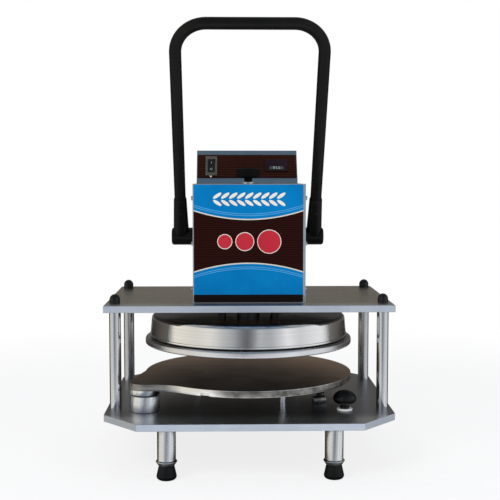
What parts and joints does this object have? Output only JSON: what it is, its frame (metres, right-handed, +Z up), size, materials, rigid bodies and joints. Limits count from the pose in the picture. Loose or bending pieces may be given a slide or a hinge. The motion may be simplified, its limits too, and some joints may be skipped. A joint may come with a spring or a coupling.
{
  "type": "dough press",
  "caption": "Manual dough press: a forward-pulled U handle drives a heated round platen down on a round plate that swings out, in a four-post frame on short legs.",
  "frame": {"origin": "on the floor under the middle of the base plate", "axes": "+X to the operator's right, +Y to the back, +Z up"},
  "size_m": [0.541, 0.502, 0.828],
  "materials": {
    "plate_steel": "satin, lightly brushed",
    "bright_steel": "turned, bright",
    "leg_steel": "satin",
    "foot_rubber": "matt",
    "black_plastic": "gloss",
    "fastener_steel": "zinc plated",
    "cover_panel": "printed sheet steel",
    "housing_sheet": "brushed sheet",
    "console_sheet": "light grey, satin",
    "console_panel": "printed sheet",
    "display_black": "satin",
    "switch_grey": "satin",
    "board": "satin",
    "cheek_steel": "machined",
    "bronze": "plain",
    "handle_black": "black, semi-gloss",
    "platen_aluminium": "machined",
    "swing_coated": "machined, dark coated top",
    "drum_polished": "polished",
    "heater_steel": "heat tinted",
    "insulation_board": "rigid board, matt",
    "gasket": "matt",
    "spring_wire": "oiled",
    "black_steel": "blackened"
  },
  "bodies": {
    "frame": {"base_plate": "plate_steel", "top_plate": "plate_steel", "post_front_left": "bright_steel", "post_front_right": "bright_steel", "post_back_left": "bright_steel", "post_back_right": "bright_steel", "cap_nuts": "black_plastic", "post_nuts": "fastener_steel", "leg_front_left": "leg_steel", "leg_front_right": "leg_steel", "leg_back_left": "leg_steel", "leg_back_right": "leg_steel", "foot_front_left": "foot_rubber", "foot_front_right": "foot_rubber", "foot_back_left": "foot_rubber", "foot_back_right": "foot_rubber", "hub_post": "bright_steel", "thrust_washer": "fastener_steel", "rest_studs": "bright_steel", "stop_block": "bright_steel", "stop_pin": "black_steel", "knob_washer": "bright_steel", "front_cover": "cover_panel", "head_shell": "housing_sheet", "cover_screws": "fastener_steel", "cheek_left": "cheek_steel", "cheek_right": "cheek_steel", "cheek_screws": "fastener_steel", "shaft_bushes": "bronze", "ram_bush": "bronze", "guide_bushes": "bronze", "knob_bush": "bright_steel", "console_case": "console_sheet", "console_panel": "console_panel", "display_unit": "display_black", "switch_frame": "switch_grey", "control_board": "board", "inlet_socket": "black_plastic", "return_springs": "spring_wire"},
    "handle": {"handle_tube": "handle_black", "handle_hub_left": "handle_black", "handle_hub_right": "handle_black", "hub_screws": "fastener_steel", "cross_shaft": "bright_steel", "pinion": "cheek_steel"},
    "platen": {"ram": "bright_steel", "platen": "platen_aluminium", "heater_ring": "heater_steel", "insulation": "insulation_board", "gasket_ring": "gasket", "heater_cover": "drum_polished", "flange_screws": "fastener_steel", "guide_rod_left": "bright_steel", "guide_rod_right": "bright_steel"},
    "swing_plate": {"swing_plate": "swing_coated", "plate_stop": "black_steel"},
    "rest_knob": {"rest_knob": "black_plastic"},
    "thickness_knob": {"thickness_knob": "black_plastic"},
    "rocker": {"rocker": "display_black"}
  },
  "joints": [
    {"name": "handle_swing", "type": "hinge", "parent": "frame", "child": "handle", "pos_m": [0, 0.028, 0.4271], "axis": [1, 0, 0], "range_deg": [0, 70]},
    {"name": "platen_slide", "type": "slide", "parent": "frame", "child": "platen", "axis": [0, 0, -1], "range_m": [0, 0.05376], "stiffness_N_per_m": 2600, "springref_m": -0.11, "deforming": ["return_springs"]},
    {"name": "plate_swing", "type": "hinge", "parent": "frame", "child": "swing_plate", "pos_m": [-0.1965, -0.141, 0.1506], "axis": [0, 0, -1], "range_deg": [0, 95]},
    {"name": "rest_knob_turn", "type": "hinge", "parent": "frame", "child": "rest_knob", "pos_m": [0.18, -0.143, 0.1356], "axis": [0, 0, 1], "range_deg": [-180, 180]},
    {"name": "thickness_knob_turn", "type": "hinge", "parent": "frame", "child": "thickness_knob", "pos_m": [0, -0.03, 0.5456], "axis": [0, 0, 1], "continuous": true},
    {"name": "rocker_switch", "type": "hinge", "parent": "frame", "child": "rocker", "pos_m": [-0.0743, 0.09055, 0.56744], "axis": [-1, 0, 0], "range_deg": [0, 16]}
  ],
  "couplings": [
    {"joint": "platen_slide", "follows": "handle_swing", "m_per_rad": 0.044}
  ]
}
